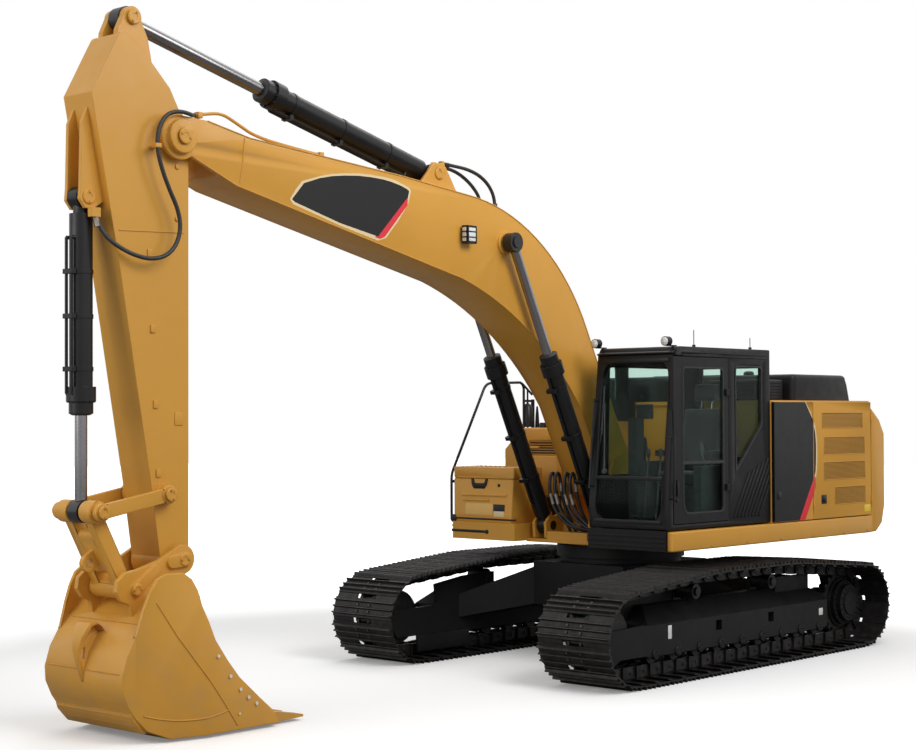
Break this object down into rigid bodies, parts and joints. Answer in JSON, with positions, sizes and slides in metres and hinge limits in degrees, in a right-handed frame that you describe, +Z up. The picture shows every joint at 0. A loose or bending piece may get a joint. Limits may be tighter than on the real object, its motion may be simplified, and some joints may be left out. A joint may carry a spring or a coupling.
{
  "type": "tracked excavator",
  "caption": "Tracked hydraulic excavator with an enclosed cab, one-piece boom, stick and toothed bucket, parked with the bucket on the ground.",
  "frame": {"origin": "the swing axis where it meets the ground, midway along the tracks", "axes": "+X to the machine's front, along the boom; +Y to its left, where the cab is; +Z up"},
  "size_m": [9.7866, 3.39, 5.4919],
  "materials": {
    "cloth": "woven",
    "dark": "charcoal satin paint",
    "engine": "painted casting",
    "frame": "dark satin paint",
    "glass": "clear tinted",
    "paint": "warm ochre-yellow gloss paint",
    "plastic": "matte",
    "rod": "polished",
    "rubber": "matte hose cover",
    "track": "worn dark steel"
  },
  "bodies": {
    "undercarriage": {"carbody": "frame", "swing_ring": "frame", "track_frame_left": "frame", "track_frame_right": "frame", "track_left": "track", "track_right": "track", "idlers": "track", "sprockets": "track", "final_drives": "frame", "track_rollers": "track", "carrier_rollers": "track"},
    "upper": {"main_frame": "paint", "side_skirt_left": "paint", "side_skirt_right": "paint", "counterweight": "paint", "engine": "engine", "engine_bay": "paint", "intake_box": "dark", "exhaust_stack": "dark", "tool_box": "paint", "fuel_tank": "paint", "hydraulic_tank": "paint", "access_step": "dark", "cab_front_panel": "dark", "handrail": "dark", "mirror": "dark", "cab_roof_fittings": "dark", "valve_hoses": "rubber", "cab_frame": "dark", "cab_glass": "glass", "seat_base": "plastic", "seat_cushion": "cloth", "seat_back": "cloth", "right_console": "plastic", "left_console": "plastic"},
    "cab_door": {"cab_door": "dark", "cab_door_glass": "glass"},
    "rear_left_door": {"rear_left_door": "paint"},
    "middle_left_door": {"middle_left_door": "paint"},
    "rear_right_door": {"rear_right_door": "paint"},
    "middle_right_door": {"middle_right_door": "paint"},
    "engine_hood": {"engine_hood": "dark"},
    "tool_box_lid": {"tool_box_lid": "paint"},
    "boom": {"boom": "paint", "boom_hoses": "rubber", "boom_lamp": "dark"},
    "stick": {"stick": "paint", "bucket_hose": "rubber"},
    "bucket": {"bucket": "paint", "bucket_teeth": "paint"},
    "idler_links": {"idler_links": "paint"},
    "power_link": {"power_link": "paint"},
    "boom_cylinder_left_barrel": {"boom_cylinder_left_barrel": "dark"},
    "boom_cylinder_left_rod": {"boom_cylinder_left_rod": "rod"},
    "boom_cylinder_right_barrel": {"boom_cylinder_right_barrel": "dark"},
    "boom_cylinder_right_rod": {"boom_cylinder_right_rod": "rod"},
    "stick_cylinder_barrel": {"stick_cylinder_barrel": "dark"},
    "stick_cylinder_rod": {"stick_cylinder_rod": "rod"},
    "bucket_cylinder_barrel": {"bucket_cylinder_barrel": "dark"},
    "bucket_cylinder_rod": {"bucket_cylinder_rod": "rod"}
  },
  "joints": [
    {"name": "swing", "type": "hinge", "parent": "undercarriage", "child": "upper", "pos_m": [0, 0, 1.1], "axis": [0, 0, 1], "continuous": true},
    {"name": "boom_lift", "type": "hinge", "parent": "upper", "child": "boom", "pos_m": [0.33, 0, 1.8], "axis": [0, -1, 0], "range_deg": [-6, 34]},
    {"name": "stick_crowd", "type": "hinge", "parent": "boom", "child": "stick", "pos_m": [5.83, 0, 4.52], "axis": [0, 1, 0], "range_deg": [-38, 26]},
    {"name": "bucket_curl", "type": "hinge", "parent": "stick", "child": "bucket", "pos_m": [5.812, 0, 1.304], "axis": [0, 1, 0], "range_deg": [-38, 68]},
    {"name": "boom_cylinder_left_pivot", "type": "hinge", "parent": "upper", "child": "boom_cylinder_left_barrel", "pos_m": [0.75, 0.35, 1.3], "axis": [0, -1, 0], "range_deg": [-5.38, 30.52]},
    {"name": "boom_cylinder_left_stroke", "type": "slide", "parent": "boom_cylinder_left_barrel", "child": "boom_cylinder_left_rod", "axis": [0.4405, 0, 0.8978], "range_m": [-0.0565, 0.3202]},
    {"name": "boom_cylinder_right_pivot", "type": "hinge", "parent": "upper", "child": "boom_cylinder_right_barrel", "pos_m": [0.75, -0.35, 1.3], "axis": [0, -1, 0], "range_deg": [-5.38, 30.52]},
    {"name": "boom_cylinder_right_stroke", "type": "slide", "parent": "boom_cylinder_right_barrel", "child": "boom_cylinder_right_rod", "axis": [0.4405, 0, 0.8978], "range_m": [-0.0565, 0.3202]},
    {"name": "stick_cylinder_pivot", "type": "hinge", "parent": "boom", "child": "stick_cylinder_barrel", "pos_m": [2.83, 0, 4.545], "axis": [0, -1, 0], "range_deg": [-3.46, 5.05]},
    {"name": "stick_cylinder_stroke", "type": "slide", "parent": "stick_cylinder_barrel", "child": "stick_cylinder_rod", "axis": [0.9689, 0, 0.2473], "range_m": [-0.5509, 0.3769]},
    {"name": "bucket_cylinder_pivot", "type": "hinge", "parent": "stick", "child": "bucket_cylinder_barrel", "pos_m": [6.56, 0, 4.01], "axis": [0, -1, 0], "range_deg": [-4.61, 2.58]},
    {"name": "bucket_cylinder_stroke", "type": "slide", "parent": "bucket_cylinder_barrel", "child": "bucket_cylinder_rod", "axis": [-0.0022, 0, -1], "range_m": [-0.2834, 0.5072]},
    {"name": "idler_link_pivot", "type": "hinge", "parent": "stick", "child": "idler_links", "pos_m": [5.94, 0, 1.8], "axis": [0, -1, 0], "range_deg": [-51.96, 29.04]},
    {"name": "power_link_pivot", "type": "hinge", "parent": "bucket", "child": "power_link", "pos_m": [6.255, 0, 1.11], "axis": [0, -1, 0], "range_deg": [-29.55, 52.88]},
    {"name": "cab_door_hinge", "type": "hinge", "parent": "upper", "child": "cab_door", "pos_m": [0.153, 1.434, 2.1], "axis": [0, 0, 1], "range_deg": [0, 168]},
    {"name": "rear_left_door_hinge", "type": "hinge", "parent": "upper", "child": "rear_left_door", "pos_m": [-2.471, 1.456, 1.9], "axis": [0, 0, 1], "range_deg": [0, 95]},
    {"name": "middle_left_door_hinge", "type": "hinge", "parent": "upper", "child": "middle_left_door", "pos_m": [-1.307, 1.456, 1.9], "axis": [0, 0, 1], "range_deg": [0, 95]},
    {"name": "rear_right_door_hinge", "type": "hinge", "parent": "upper", "child": "rear_right_door", "pos_m": [-2.471, -1.456, 1.9], "axis": [0, 0, -1], "range_deg": [0, 95]},
    {"name": "middle_right_door_hinge", "type": "hinge", "parent": "upper", "child": "middle_right_door", "pos_m": [-1.307, -1.456, 1.9], "axis": [0, 0, -1], "range_deg": [0, 95]},
    {"name": "engine_hood_hinge", "type": "hinge", "parent": "upper", "child": "engine_hood", "pos_m": [-2.466, 0, 2.5385], "axis": [0, -1, 0], "range_deg": [0, 55]},
    {"name": "tool_box_lid_hinge", "type": "hinge", "parent": "upper", "child": "tool_box_lid", "pos_m": [0.55, -0.975, 1.757], "axis": [0, -1, 0], "range_deg": [0, 80]}
  ],
  "couplings": [
    {"joint": "boom_cylinder_left_pivot", "follows": "boom_lift", "ratio": 0.87989},
    {"joint": "boom_cylinder_left_stroke", "follows": "boom_lift", "m_per_rad": 0.52898},
    {"joint": "boom_cylinder_right_pivot", "follows": "boom_lift", "ratio": 0.87989},
    {"joint": "boom_cylinder_right_stroke", "follows": "boom_lift", "m_per_rad": 0.52898},
    {"joint": "stick_cylinder_pivot", "follows": "stick_crowd", "ratio": -0.13035},
    {"joint": "stick_cylinder_stroke", "follows": "stick_crowd", "m_per_rad": 0.81435},
    {"joint": "bucket_cylinder_pivot", "follows": "bucket_curl", "ratio": -0.06646},
    {"joint": "bucket_cylinder_stroke", "follows": "bucket_curl", "m_per_rad": 0.41894},
    {"joint": "idler_link_pivot", "follows": "bucket_curl", "ratio": -0.74913},
    {"joint": "power_link_pivot", "follows": "bucket_curl", "ratio": 0.76243}
  ]
}
